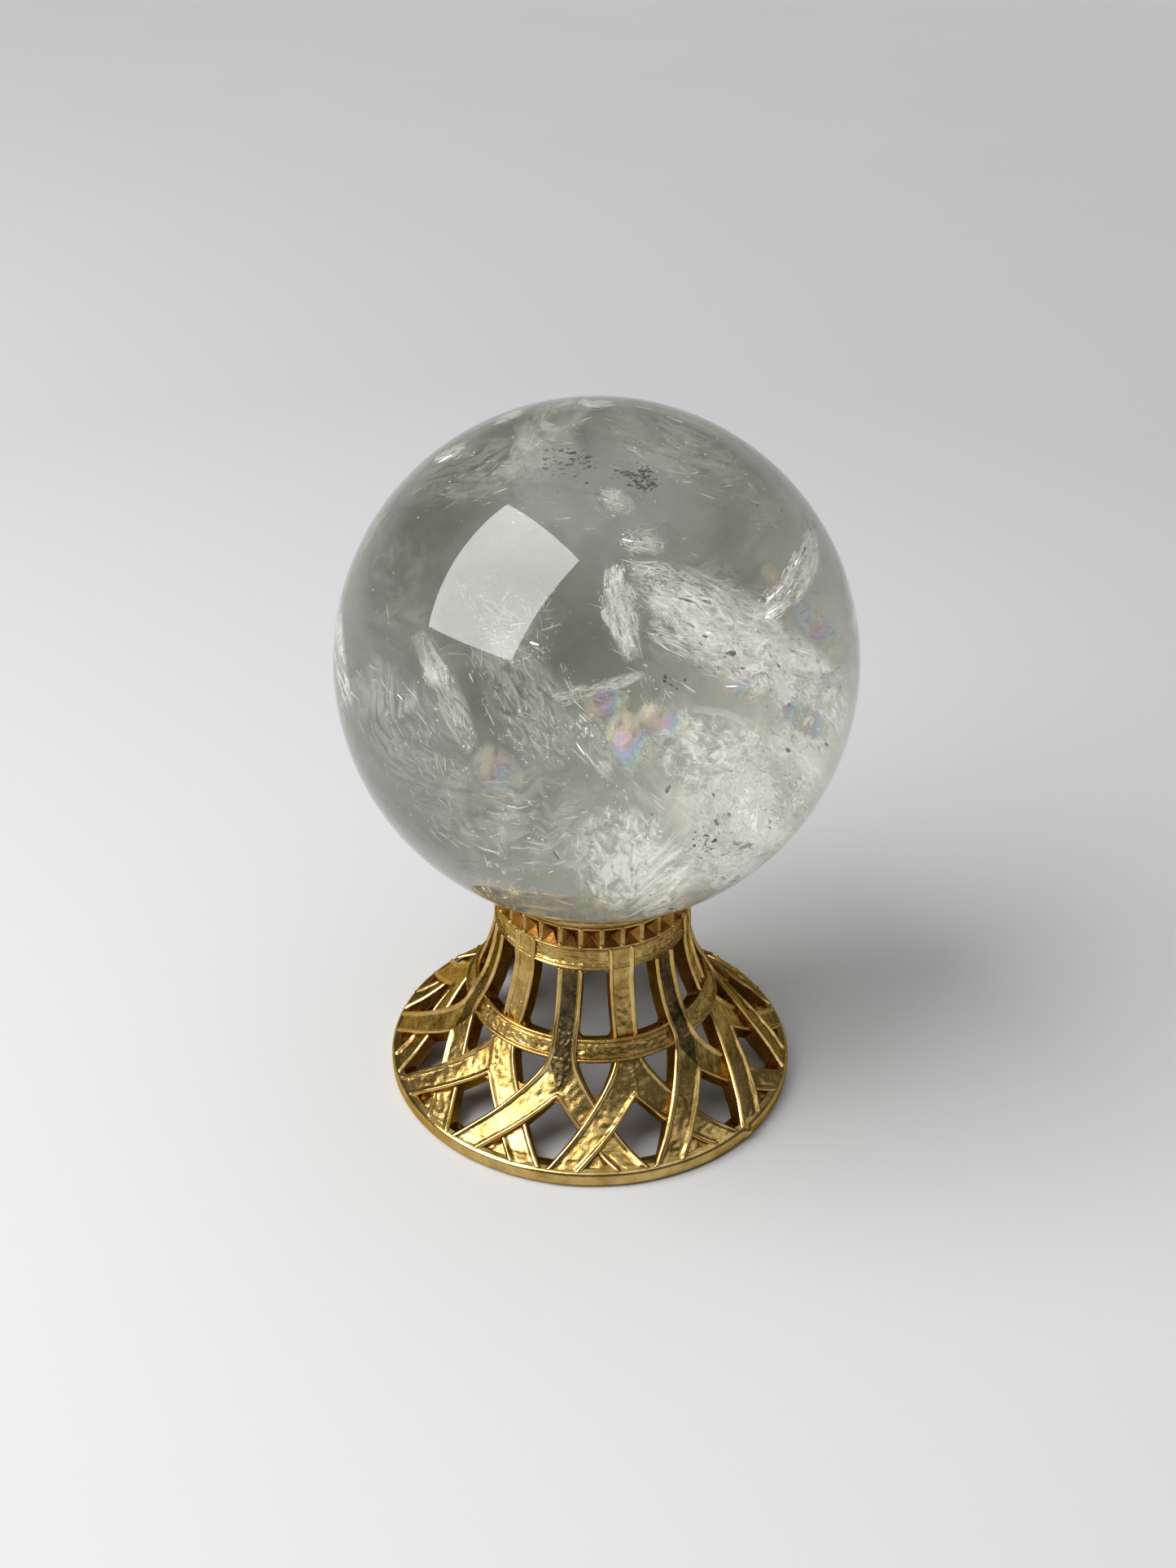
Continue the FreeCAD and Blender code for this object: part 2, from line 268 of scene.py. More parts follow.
def softened(line, passes):
    """The line with its corners rounded. Its ends stay."""
    line = line.copy()
    for _ in range(passes):
        line[1:-1] = (line[:-2] + 2 * line[1:-1] + line[2:]) / 4
    return line


UPRIGHT_STEPS, LEG_STEPS, ACROSS_STEPS, BACK_STEPS = 84, 60, 22, 6
DENSE_STEPS = 1200
# Share of an over rib's upright, from its top, whose flats are painted near-black: a painted dark reflection.
PAINTED_DARK_SHARE = 0.93
# Material slots. The inside slot holds a darker gold of painted shade, and the last slot a near-black gold of
# painted dark reflection and shade.
FLAT_SLOT, INSIDE_SLOT, BORDER_SLOT, PAINTED_DARK_SLOT = range(4)
SIDE_WALL_SHARES = np.array([0.0, 0.08, 0.3, 0.6, 0.9, 1.0])


def rib_half_lines(top):
    """The inner and outer border of a rib's right half, from its top to the rim. The inner one is the
    rib's middle line down to the crotch, and then the leg's lower border."""
    start = along_at_level(top)
    lines = []
    for across, radius in ((0.0, BOW_RADIUS + LEG_HALF_WIDTH), (RIB_HALF_WIDTH, BOW_RADIUS - LEG_HALF_WIDTH)):
        leaving = along_at_radius(np.hypot(across, bow_out(across, radius)))
        upright = np.linspace((across, start), (across, leaving), UPRIGHT_STEPS)
        lines.append(np.concatenate([upright, leg_border(radius, across, LEG_STEPS)[1:]]))
    inner, outer = lines
    return inner, softened(outer, 60)


def nearest_distance(points, line):
    """Distance from each point to the nearest of the line's densely set points."""
    flat = points.reshape(-1, 1, 2)
    return np.sqrt(((flat - line[None]) ** 2).sum(-1)).min(1).reshape(points.shape[:-1])


def dense_line(line):
    """The line with many more points along it."""
    rows = np.arange(len(line))
    places = np.linspace(0, len(line) - 1, DENSE_STEPS)
    return np.stack([np.interp(places, rows, line[:, k]) for k in (0, 1)], -1)


def between(first, second, shares):
    """Points across from one line to another."""
    shares = shares[None, :, None]
    return first[:, None] * (1 - shares) + second[:, None] * shares


def rib_lift(side, along, passes_over_ring):
    """How far a rib's half stands over the wall's outside as it weaves through the rings and other legs."""
    leg_rows = np.clip((np.arange(len(along)) - UPRIGHT_STEPS + 1) / (LEG_STEPS - 1), 0, 1)[:, None]
    # A left leg lies over its neighbours and a right leg under them, and both end level with the rim.
    woven = smooth_step(0.0, 0.45, leg_rows) * (1 - smooth_step(0.72, 0.98, leg_rows))
    lift = -side * WEAVE * woven * np.ones_like(along)
    ring_middle = along_at_level((RING_TOP + RING_BOTTOM) / 2)
    near_ring = bell(along, ring_middle, 2.0 * MM)
    if passes_over_ring:
        return lift + 0.8 * WEAVE * near_ring
    over_collar = 1 - smooth_step(2.4 * MM, 4.5 * MM, along)
    return lift - 0.9 * WEAVE * near_ring + 0.7 * WEAVE * over_collar


def rib_mesh(name, angle, top, passes_over_ring, materials):
    """One rib: two halves that share the middle line down to the crotch and part there into two legs."""
    inner, outer = rib_half_lines(top)
    rows = len(inner)
    crotch_index = int(DENSE_STEPS * (UPRIGHT_STEPS - 1) / (rows - 1))
    below_crotch, outside = dense_line(inner)[crotch_index:], dense_line(outer)
    vertices, faces, slots = [], [], []

    def add(points, face_list, slot):
        start = total(vertices)
        vertices.append(points.reshape(-1, 3))
        faces.extend(tuple(index + start for index in face) for face in face_list)
        slots.extend(np.broadcast_to(slot, len(face_list)).tolist())

    for side in (-1, 1):
        flat = between(inner, outer, 0.5 - 0.5 * np.cos(np.linspace(0, np.pi, ACROSS_STEPS)))
        distance = np.minimum(nearest_distance(flat, outside), nearest_distance(flat, below_crotch))
        lateral, along = side * flat[..., 0], flat[..., 1]
        lift = rib_lift(side, along, passes_over_ring)
        height = lift + border_profile(distance) + hammered(on_wall(lateral, along, lift, angle), distance)
        top_points = on_wall(lateral, along, height, angle)
        middle_distance = (distance[:-1, :-1] + distance[1:, 1:]) / 2
        # Painted dark reflection: the flats of an over rib's upright take near-black gold.
        on_upright = (np.arange(rows - 1) < PAINTED_DARK_SHARE * UPRIGHT_STEPS)[:, None]
        flat_slot = np.where(on_upright & passes_over_ring, PAINTED_DARK_SLOT, FLAT_SLOT)
        top_slots = np.where(middle_distance < 1.05 * BORDER_WIDTH, BORDER_SLOT, flat_slot)
        add(top_points, grid_faces(rows, ACROSS_STEPS), top_slots.ravel())

        back = between(inner, outer, np.linspace(0, 1, BACK_STEPS))
        lateral, along = side * back[..., 0], back[..., 1]
        lumps = fractal(on_wall(lateral, along, -WALL, angle), 2.0 * MM, 2, offset=5.0)
        back_points = on_wall(lateral, along, -WALL + 0.10 * MM * lumps, angle)
        add(back_points, grid_faces(rows, BACK_STEPS), INSIDE_SLOT)

        # The side walls run down the outer edge all the way, and down the inner edge below the crotch.
        walls = [between(top_points[:, c], back_points[:, c], SIDE_WALL_SHARES) for c in (-1, 0)]
        for wall, first in zip(walls, (0, UPRIGHT_STEPS - 1)):
            add(wall[first:], grid_faces(rows - first, wall.shape[1]), INSIDE_SLOT)
        head = [top_points[0], walls[0][0, 1:-1], back_points[0][::-1]]
        foot = [top_points[-1], walls[0][-1, 1:-1], back_points[-1][::-1], walls[1][-1, -2:0:-1]]
        for loop in (np.concatenate(head), np.concatenate(foot)):
            add(loop, [tuple(range(len(loop)))], INSIDE_SLOT)
    return new_piece(name, np.concatenate(vertices), faces, materials, slots, merge=0.0005 * MM)


# ---- rings ----


def swept_ring(name, section, steps, materials, split=None):
    """A closed ring. section(azimuth) gives its closed outline as points of (radius, z), and the first
    split edges of it take the first material."""
    azimuths = [2 * math.pi * k / steps for k in range(steps)]
    outlines = [at_azimuth(azimuth, *section(azimuth).T) for azimuth in azimuths]
    count = len(outlines[0])
    faces, slots = [], []
    for a, b in neighbours(range(0, steps * count, count)):
        for j, after in neighbours(range(count)):
            faces.append((a + j, a + after, b + after, b + j))
            slots.append(FLAT_SLOT if split is None or j < split else INSIDE_SLOT)
    return new_piece(name, np.concatenate(outlines), faces, materials, slots)


def band_on_wall(name, top, bottom, profile, lift, materials):
    """A band of the wall between two levels, with the relief profile(distance from top, from bottom).
    lift(azimuth) raises it where it passes over a rib and sinks it where it passes under one."""
    start, end = along_at_level(top), along_at_level(bottom)
    share = np.linspace(0, 1, 44)
    along = start + (end - start) * share
    relief = profile(along - start, end - along)
    nearest = np.minimum(along - start, end - along)

    def section(azimuth):
        height = relief + lift(azimuth)
        rough = hammered(at_azimuth(azimuth, *wall_section(along, height)), nearest)
        front = wall_section(along, height + rough)
        back = wall_section(np.linspace(end, start, BACK_STEPS), -WALL)
        return np.concatenate([front, back], axis=1).T

    return swept_ring(name, section, 540, materials, split=len(along) - 1)


def mid_ring_profile(from_top, from_bottom):
    line = 0.12 * MM * bell(from_top, 0.85 * MM, 0.09 * MM)
    return border_profile(np.minimum(from_top, from_bottom)) + line


def collar_profile(from_top, from_bottom):
    """Flat, with two fine raised lines along the bottom edge and one along the top."""
    relief = np.full(len(from_top), FLAT_LEVEL)
    for distance, centre in ((from_bottom, 0.25 * MM), (from_bottom, 0.72 * MM), (from_top, 0.2 * MM)):
        relief = relief + 0.26 * MM * bell(distance, centre, 0.15 * MM)
    return relief


def arc_points(centre, radius, first_deg, last_deg, count):
    angles = np.radians(np.linspace(first_deg, last_deg, count))
    return [(centre[0] + radius * math.cos(a), centre[1] + radius * math.sin(a)) for a in angles]


STUB_AZIMUTH = math.radians(62.5)
STUB_SIZE = 0.55 * MM


def base_rim_section(azimuth):
    """The rounded ring that the stand rests on, a step inside its top, and the casting's stub on one side."""
    inside, outside, top = BASE_RADIUS - 2.9 * MM, BASE_RADIUS, RIM_TOP
    points = [(inside + 0.3 * MM, 0.0), (outside - 1.2 * MM, 0.0)]
    points += arc_points((outside - 0.75 * MM, 0.75 * MM), 0.75 * MM, -90, 0, 8)
    points += arc_points((outside - 0.65 * MM, top - 0.60 * MM), 0.65 * MM, 0, 80, 8)
    points += arc_points((outside - 0.98 * MM, top - 0.02 * MM), 0.17 * MM, 60, 180, 6)
    points += [(outside - 1.25 * MM, top - 0.20 * MM), (outside - 2.3 * MM, top - 0.15 * MM)]
    points += [(inside, top - 0.5 * MM), (inside, 0.3 * MM)]
    points = np.array(points)
    stub = bell(azimuth, STUB_AZIMUTH, STUB_SIZE / BASE_RADIUS)
    points[:, 0] += STUB_SIZE * stub * bell(points, (outside, 1.3 * MM), 0.6 * MM).prod(-1)
    wobble = noise.noise(Vector((math.cos(azimuth), math.sin(azimuth), 0)) * 5.0)
    outer_arcs = slice(3, 16)
    points[outer_arcs, 0] += 0.05 * MM * wobble
    return points


LIP_FACE_EDGES = 12


def seat_lip_section(_azimuth):
    """A rounded crest, and inside it a groove that runs round the ball's seat."""
    inside = LIP_RADIUS - 1.5 * MM
    middle = (LIP_RADIUS - 0.30 * MM, LIP_TOP - 0.30 * MM)
    points = [(inside, BEAD_TOP), (LIP_RADIUS - 0.15 * MM, BEAD_TOP), (LIP_RADIUS, BEAD_TOP + 0.15 * MM)]
    points += arc_points(middle, 0.30 * MM, 0, 130, 10)
    points += [(LIP_RADIUS - 0.80 * MM, LIP_TOP - 0.75 * MM), (inside + 0.35 * MM, LIP_TOP - 0.62 * MM)]
    points += [(inside, LIP_TOP - 0.70 * MM)]
    return np.array(points)


def bead_row_mesh(materials):
    """Square cells round the neck, each sunk to a point like the inside of a pyramid. The balls at the
    corners between cells are a piece of their own."""
    low, high = COLLAR_TOP, BEAD_TOP
    wall_half = 0.11
    inner_radius, depth = NECK_RADIUS - WALL, 0.85 * MM
    border = 0.09 * (high - low)
    vertices, faces, slots = [], [], []

    def vertex(turn, radius, z):
        vertices.append(at_azimuth(turn, radius, z))
        return len(vertices) - 1

    cell = 2 * math.pi / BEAD_COUNT
    for k in range(BEAD_COUNT):
        turns = [cell * (k + s) for s in (-0.5, -0.5 + wall_half, 0.5 - wall_half, 0.5)]
        levels = [low, low + border, high - border, high]
        front = [[vertex(t, BEAD_WALL_RADIUS, z) for t in turns] for z in levels]
        apex = vertex(cell * k, BEAD_WALL_RADIUS - depth, (low + high) / 2)
        back = [[vertex(t, inner_radius, z) for t in (turns[0], turns[3])] for z in (low, high)]
        for i in range(3):
            for j in range(3):
                if (i, j) != (1, 1):
                    faces.append((front[i][j], front[i][j + 1], front[i + 1][j + 1], front[i + 1][j]))
                    slots.append(FLAT_SLOT)
        # The sunk faces and the cells' backs take the second material, a darker gold of painted shade.
        rim = [front[1][1], front[1][2], front[2][2], front[2][1]]
        for a, b in neighbours(rim):
            faces.append((a, b, apex))
            slots.append(INSIDE_SLOT)
        faces.append((back[0][0], back[0][1], *front[0][::-1]))
        faces.append((back[1][1], back[1][0], *front[3]))
        faces.append((back[0][1], back[0][0], back[1][0], back[1][1]))
        slots += 3 * [INSIDE_SLOT]
    piece = new_piece("bead_row_cells", vertices, faces, materials, slots, merge=0.001 * MM, smooth=False)
    bevel = piece.modifiers.new("softened_edges", "BEVEL")
    bevel.width = 0.07 * MM
    bevel.segments = 2
    bevel.limit_method = "ANGLE"
    bevel.angle_limit = math.radians(25)
    return piece


def corner_balls_mesh(material):
    """The small balls at the corners between the cells."""
    work = bmesh.new()
    for k in range(BEAD_COUNT):
        turn = 2 * math.pi * (k + 0.5) / BEAD_COUNT
        for z, radius in ((COLLAR_TOP + 0.40 * MM, 0.34 * MM), (BEAD_TOP - 0.35 * MM, 0.24 * MM)):
            place = Vector(at_azimuth(turn, BEAD_WALL_RADIUS, z))
            radius *= 1 + 0.3 * noise.noise(place / MM)
            bmesh.ops.create_icosphere(work, subdivisions=2, radius=radius, matrix=Matrix.Translation(place))
    return smooth_piece("bead_row_corner_balls", work, material)


def gusset_mesh(materials):
    """Rough sunk triangles between crossing legs and the rim."""
    rows, columns = 16, 18
    vertices, faces = [], []
    for k in range(RIB_COUNT):
        angle = (k + 0.5) * RIB_TURN
        radius = np.linspace(22.0 * MM, FOOT_RADIUS, rows)[:, None] * np.ones((1, columns))
        half = np.linspace(0.4 * MM, 3.3 * MM, rows)[:, None]
        lateral = half * np.linspace(-1, 1, columns)[None, :]
        along = along_at_radius(radius)
        lumps = fractal(on_wall(lateral, along, 0, angle), 1.0 * MM, 3, offset=3.0)
        faces += shell_faces(rows, columns, total(vertices))
        for height in (-0.62 * MM + 0.22 * MM * lumps, -WALL):
            vertices.append(on_wall(lateral, along, height, angle).reshape(-1, 3))
    return new_piece("rim_gusset_castings", np.concatenate(vertices), faces, materials)


WEB_STEPS = 9
WEB_BACK, WEB_SINK = 0.5 * MM, 0.1 * MM


def webs_mesh(name, webs, materials):
    """Thin plates set into the wall. A web is its outline's (lateral, along), from whose first point all of
    the others can be seen, and the angle of the middle line that lateral is measured from."""
    vertices, faces = [], []
    for lateral, along, angle in webs:
        count = len(along)
        start = total(vertices)
        for height in (-0.30 * MM, -WALL + 0.1 * MM):
            vertices.append(on_wall(lateral, along, height, angle))
        for j in range(1, count - 1):
            faces.append((start, start + j, start + j + 1))
            faces.append((start + count, start + count + j + 1, start + count + j))
        for a, b in neighbours(range(count)):
            faces.append((start + a, start + b, start + count + b, start + count + a))
    return new_piece(name, np.concatenate(vertices), faces, materials, smooth=False)


def ring_corner_webs():
    """The metal that rounds the windows' corners, beside every rib at the collar and at the ring."""
    reach = 1.15 * MM
    levels = [(along_at_level(z), down) for z, down in ((COLLAR_BOTTOM, 1), (RING_TOP, -1), (RING_BOTTOM, 1))]
    arc = np.linspace(0, np.pi / 2, WEB_STEPS)
    outward = np.concatenate([[-WEB_BACK], reach * (1 - np.sin(arc))]) - WEB_SINK
    downward = np.concatenate([[-WEB_BACK], reach * (1 - np.cos(arc))]) - WEB_SINK
    webs = []
    for k in range(RIB_COUNT):
        for level, down in levels:
            for side in (-1, 1):
                webs.append((side * (RIB_HALF_WIDTH + outward), level + down * downward, k * RIB_TURN))
    return webs


def leg_corner(radius, azimuth):
    """Where one border of a rib's leg meets the line at an azimuth, and its angle to that line there."""
    across = np.linspace(0, LEG_REACH, 3000)
    out = bow_out(across, radius)
    turn = np.arctan2(across, out) - azimuth
    reach = np.hypot(across, out)
    along = along_at_radius(np.minimum(reach, FOOT_RADIUS))
    meeting = int(np.argmin(np.abs(turn)))
    slope = np.gradient(reach * np.sin(turn))[meeting] / np.gradient(along)[meeting]
    return along[meeting], math.atan(slope)


def leg_corner_webs():
    """The metal that rounds the crotch of every rib and the corner over each crossing of two legs."""
    radius = 0.95 * MM
    corners = [(0.0, BOW_RADIUS + LEG_HALF_WIDTH, 1), (RIB_TURN / 2, BOW_RADIUS - LEG_HALF_WIDTH, -1)]
    webs = []
    for azimuth, border, down in corners:
        corner, half_angle = leg_corner(border, azimuth)
        sweep = np.pi / 2 - half_angle
        arc = np.concatenate([[sweep], np.linspace(sweep, -sweep, 2 * WEB_STEPS), [-sweep]])
        reach = np.full(len(arc), radius)
        reach[[0, -1]] += 3 * WEB_SINK
        centre = corner + down * radius / math.sin(half_angle)
        lateral = np.concatenate([[0.0], reach * np.sin(arc)])
        along = np.concatenate([[corner - down * WEB_BACK], centre - down * reach * np.cos(arc)])
        webs += [(lateral, along, azimuth + k * RIB_TURN) for k in range(RIB_COUNT)]
    return webs


# ---- materials ----


class Nodes:
    """Short calls for building the node tree of a material or of the world."""

    def __init__(self, owner, place="Object", shader="Principled BSDF"):
        owner.use_nodes = True
        self.owner = owner
        self.tree = owner.node_tree
        self.shader = self.tree.nodes[shader]
        self.place = self.tree.nodes.new("ShaderNodeTexCoord").outputs[place]

    def node(self, kind, inputs=None, **settings):
        made = self.tree.nodes.new(kind)
        for key, value in settings.items():
            setattr(made, key, value)
        for key, value in (inputs or {}).items():
            self.put(made.inputs[key], value)
        return made

    def put(self, socket, value):
        if isinstance(value, bpy.types.NodeSocket):
            self.tree.links.new(value, socket)
        else:
            socket.default_value = value

    def point_value(self, name):
        """The number that a mesh stores for each vertex."""
        return self.node("ShaderNodeAttribute", attribute_name=name).outputs["Fac"]

    def sheet_place(self):
        """The place on a fracture, in millimetres along and across."""
        return self.node("ShaderNodeUVMap", uv_map="millimetres").outputs["UV"]

    def noise(self, size, detail=3.0, roughness=0.5, distortion=0.0, place=None):
        """Noise from 0 to 1 whose lumps have the given size."""
        inputs = {"Vector": place or self.place, "Scale": 1 / size, "Detail": detail, "Roughness": roughness,
                  "Distortion": distortion}
        return self.node("ShaderNodeTexNoise", inputs).outputs["Fac"]

    def ramp(self, value, stops):
        """A colour ramp. stops are (position, colour or grey)."""
        made = self.node("ShaderNodeValToRGB", {"Fac": value})
        elements = made.color_ramp.elements
        while len(elements) < len(stops):
            elements.new(0.5)
        for element, (position, colour) in zip(elements, stops):
            element.position = position
            element.color = (*colour, 1) if isinstance(colour, tuple) else (colour, colour, colour, 1)
        return made.outputs["Color"]

    def math(self, operation, *values):
        return self.node("ShaderNodeMath", dict(enumerate(values)), operation=operation).outputs[0]

    def plus(self, a, b):
        return self.math("ADD", a, b)

    def times(self, product, *factors):
        for factor in factors:
            product = self.math("MULTIPLY", product, factor)
        return product

    def mix(self, factor, a, b):
        return self.node("ShaderNodeMix", {"Factor": factor, 6: a, 7: b}, data_type="RGBA").outputs[2]

    def bump(self, height, strength, distance):
        made = self.node("ShaderNodeBump", {"Height": height, "Strength": strength, "Distance": distance})
        self.put(self.shader.inputs["Normal"], made.outputs["Normal"])

    def set(self, **values):
        for key, value in values.items():
            self.put(self.shader.inputs[key.replace("_", " ")], value)


PIT_COLOUR = (0.035, 0.022, 0.012, 1)
GOLD_EDGE_TINT = (0.75, 0.55, 0.28, 1)


def gold(name, light, deep, roughness, bump_mm, tarnish):
    """Gold plate: colour between two tones, cast roughness, and dark pits that cover a share of it."""
    n = Nodes(bpy.data.materials.new(name))
    tone = n.ramp(n.noise(2.6 * MM, 4.0, 0.6), [(0.35, deep), (0.65, light)])
    pits = n.ramp(n.noise(0.5 * MM, 4.0, 0.65), [(0.60, 0.0), (0.72, 1.0)])
    patches = n.ramp(n.noise(2.2 * MM, 2.0), [(0.5, 0.0), (0.62, 1.0)])
    n.set(Base_Color=n.mix(n.times(pits, patches, tarnish), tone, PIT_COLOUR), Metallic=1.0)
    n.set(Specular_Tint=GOLD_EDGE_TINT)
    n.set(Roughness=n.ramp(n.noise(0.9 * MM, 4.0, 0.6), [(0.3, roughness[0]), (0.7, roughness[1])]))
    n.bump(n.noise(0.22 * MM, 4.0, 0.6), 0.6, bump_mm * MM)
    return n.owner


GOLD_FLAT = gold("gold_flat", (0.56, 0.39, 0.14), (0.31, 0.19, 0.05), (0.12, 0.34), 0.07, 0.9)
GOLD_BORDER = gold("gold_border", (0.66, 0.47, 0.18), (0.42, 0.27, 0.08), (0.08, 0.22), 0.02, 0.3)
# Painted shade: a darker copy of the gold for the wall's inside, the pieces' side walls and the webs in the
# windows' corners.
GOLD_SHADED_INSIDE = gold("gold_shaded_inside", (0.38, 0.19, 0.045), (0.20, 0.09, 0.02), (0.22, 0.42), 0.06, 0.9)
# Painted shade: dark gold inside the bead row's sunk cells.
GOLD_SHADED_CELLS = gold("gold_shaded_cells", (0.36, 0.16, 0.03), (0.12, 0.05, 0.012), (0.14, 0.34), 0.06, 1.0)
# Near-black gold: painted dark reflection on the over ribs' uprights, and painted shade in the seat lip's
# groove.
GOLD_PAINTED_DARK = gold("gold_painted_dark", (0.17, 0.12, 0.05), (0.045, 0.033, 0.02), (0.16, 0.38), 0.08, 1.0)

QUARTZ_IOR = 1.544


def crystal():
    """Clear quartz with a faint green tint and a slightly uneven polish."""
    n = Nodes(bpy.data.materials.new("quartz"))
    n.set(Base_Color=(0.935, 0.935, 0.85, 1), IOR=QUARTZ_IOR)
    n.set(Transmission_Weight=1.0, Specular_IOR_Level=0.14)
    n.set(Roughness=n.ramp(n.noise(9 * MM, 5.0, 0.6), [(0.35, 0.0), (0.75, 0.035)]))
    return n.owner


# ---- the stand ----

rib_materials = [GOLD_FLAT, GOLD_SHADED_INSIDE, GOLD_BORDER, GOLD_PAINTED_DARK]
rib_nodes = []
for k in range(RIB_COUNT):
    over = k % 2 == 0
    node = f"rib_{'over' if over else 'under'}_{k // 2 + 1}"
    rib_nodes.append(node)
    rib = rib_mesh(node + "_cast", k * RIB_TURN, COLLAR_BOTTOM if over else COLLAR_TOP, over, rib_materials)
    stand_piece(rib, node)


def ring_lift(azimuth):
    """The middle ring sinks under the over ribs and rises over the under ribs."""
    return -0.55 * WEAVE * math.cos(6 * azimuth)


bands = [("mid_ring", RING_TOP, RING_BOTTOM, mid_ring_profile, ring_lift),
         ("collar_band", COLLAR_TOP, COLLAR_BOTTOM, collar_profile, lambda _: 0.0)]
for node, *sizes in bands:
    stand_piece(band_on_wall(node + "_cast", *sizes, [GOLD_FLAT, GOLD_SHADED_INSIDE]), node)
stand_piece(bead_row_mesh([GOLD_FLAT, GOLD_SHADED_CELLS]), "bead_row")
stand_piece(corner_balls_mesh(GOLD_BORDER), "bead_row")
# The lip's groove and inner side take near-black gold: painted shade in the gap under the ball.
lip = swept_ring("seat_lip_cast", seat_lip_section, 240, [GOLD_FLAT, GOLD_PAINTED_DARK], split=LIP_FACE_EDGES)
stand_piece(lip, "seat_lip")
stand_piece(swept_ring("base_rim_cast", base_rim_section, 720, [GOLD_BORDER]), "base_rim")
stand_piece(gusset_mesh([GOLD_FLAT]), "rim_gussets")
stand_piece(webs_mesh("window_corner_webs", ring_corner_webs(), [GOLD_SHADED_INSIDE]), "mid_ring", "collar_band")
stand_piece(webs_mesh("leg_corner_webs", leg_corner_webs(), [GOLD_SHADED_INSIDE]), *rib_nodes)


# ---- the ball ----

# The photograph's eye: its azimuth, and its tilt up from straight down.
EYE_AZIMUTH, EYE_TILT = math.radians(12.5), math.radians(58.55)
# Right, up and towards the eye, for someone who looks at the ball from there.
EYE_TURN = Matrix.Rotation(EYE_AZIMUTH, 3, "Z") @ Matrix.Rotation(EYE_TILT, 3, "X")
# Shares of the ball's radius: the furthest out that a place is seen, and the room for sheets and for flakes.
SEEN_REACH, SHEET_ROOM, FLAKE_ROOM = 0.985, 0.97, 0.985


def from_eye(points):
    """Places in the ball from (right, up, towards the eye) in ball radii from its middle."""
    return points * BALL_RADIUS @ np.array(EYE_TURN).T + np.array(BALL_CENTRE)


def seen_at(right, up, depth):
    """Points inside the ball that an eye in front of it sees at (right, up), in ball radii from its
    middle. depth is the share of the way from its near side to its far side, along the bent line of sight."""
    squeeze = np.minimum(1, SEEN_REACH / np.maximum(np.hypot(right, up), 1e-9))
    right, up = right * squeeze, up * squeeze
    towards = np.sqrt(1 - right**2 - up**2)
    cos_inside = np.sqrt(1 - (right**2 + up**2) / QUARTZ_IOR**2)
    normal = np.stack([right, up, towards], axis=-1)
    ray = (towards / QUARTZ_IOR - cos_inside)[..., None] * normal
    ray[..., 2] -= 1 / QUARTZ_IOR
    points = normal + ray * (2 * cos_inside * depth)[..., None]
    length = np.linalg.norm(points, axis=-1, keepdims=True)
    return from_eye(points * np.minimum(1, SHEET_ROOM / np.maximum(length, 1e-9)))


SHEET_STEPS = 60
SHEET_HALF_THICKNESS = 0.015 * MM
UV_APART = 40


class Sheet:
    """A curved fracture inside the ball. It runs along a bent line from start to end, as seen at the
    ball's front, half_width to each side of it, at depths from the first to the second."""

    def __init__(self, start, middle, end, half_width, depths, strength, tilt=0.0, turn=0.0):
        columns = max(12, int(half_width * SHEET_STEPS))
        rows = max(16, int(math.dist(start, end) * SHEET_STEPS))
        along = np.linspace(0, 1, rows)[:, None]
        across = np.linspace(-1, 1, columns)[None, :]
        start, middle, end = (np.array(p, float) for p in (start, middle, end))
        line = (1 - along) ** 2 * start + 2 * along * (1 - along) * middle + along**2 * end
        tangent = np.gradient(line, axis=0)
        tangent /= np.linalg.norm(tangent, axis=1, keepdims=True)
        side = np.stack([-tangent[:, 1], tangent[:, 0]], axis=-1)
        taper = 0.55 + 0.45 * np.sin(np.pi * along)
        seen = line[:, None] + side[:, None] * (across * half_width * taper)[..., None]
        depth = depths[0] + (depths[1] - depths[0]) * along + tilt * across
        crumple = fractal(np.dstack([seen, depth]), 0.3, 3, offset=strength)
        points = seen_at(seen[..., 0], seen[..., 1], np.clip(depth + 0.04 * crumple, 0.03, 0.97))
        self.points = turned(points, turn)
        self.cover = strength * np.sqrt(np.sin(np.pi * along)) * (1 - np.abs(across) ** 3)
        self.size = (rows, columns)

    def at(self, along, across):
        """The point of the sheet, and the directions along and across it there."""
        rows, columns = self.size
        i, j = int(along * (rows - 2)), int(across * (columns - 2))
        point = self.points[i, j]
        return point, self.points[i + 1, j] - point, self.points[i, j + 1] - point


def sheets_mesh(name, sheets, material):
    """All the sheets as one piece of thin closed shells. Its UV map is in millimetres along and across,
    and its cover attribute fades to nothing at each sheet's edges."""
    vertices, faces, uvs, cover = [], [], [], []
    for number, sheet in enumerate(sheets):
        along, across = (np.gradient(sheet.points, axis=axis) for axis in (0, 1))
        normal = np.cross(along, across)
        normal /= np.maximum(np.linalg.norm(normal, axis=-1, keepdims=True), 1e-12)
        run = np.cumsum(np.linalg.norm(along, axis=-1), axis=0) / MM + UV_APART * number
        width = np.cumsum(np.linalg.norm(across, axis=-1), axis=1) / MM
        faces += shell_faces(*sheet.size, total(vertices))
        for lift in (SHEET_HALF_THICKNESS, -SHEET_HALF_THICKNESS):
            vertices.append((sheet.points + lift * normal).reshape(-1, 3))
            uvs.append(np.stack([run, width], axis=-1).reshape(-1, 2))
            cover.append(sheet.cover.reshape(-1))
    piece = new_piece(name, np.concatenate(vertices), faces, [material])
    mesh = piece.data
    corner_vertices = np.empty(len(mesh.loops), int)
    mesh.loops.foreach_get("vertex_index", corner_vertices)
    uv_map = mesh.uv_layers.new(name="millimetres")
    uv_map.data.foreach_set("uv", np.concatenate(uvs)[corner_vertices].ravel())
    point_values(mesh, "cover", np.concatenate(cover))
    return piece


FLAKE_CORNERS = 5
TRIES_PER_FLAKE = 40


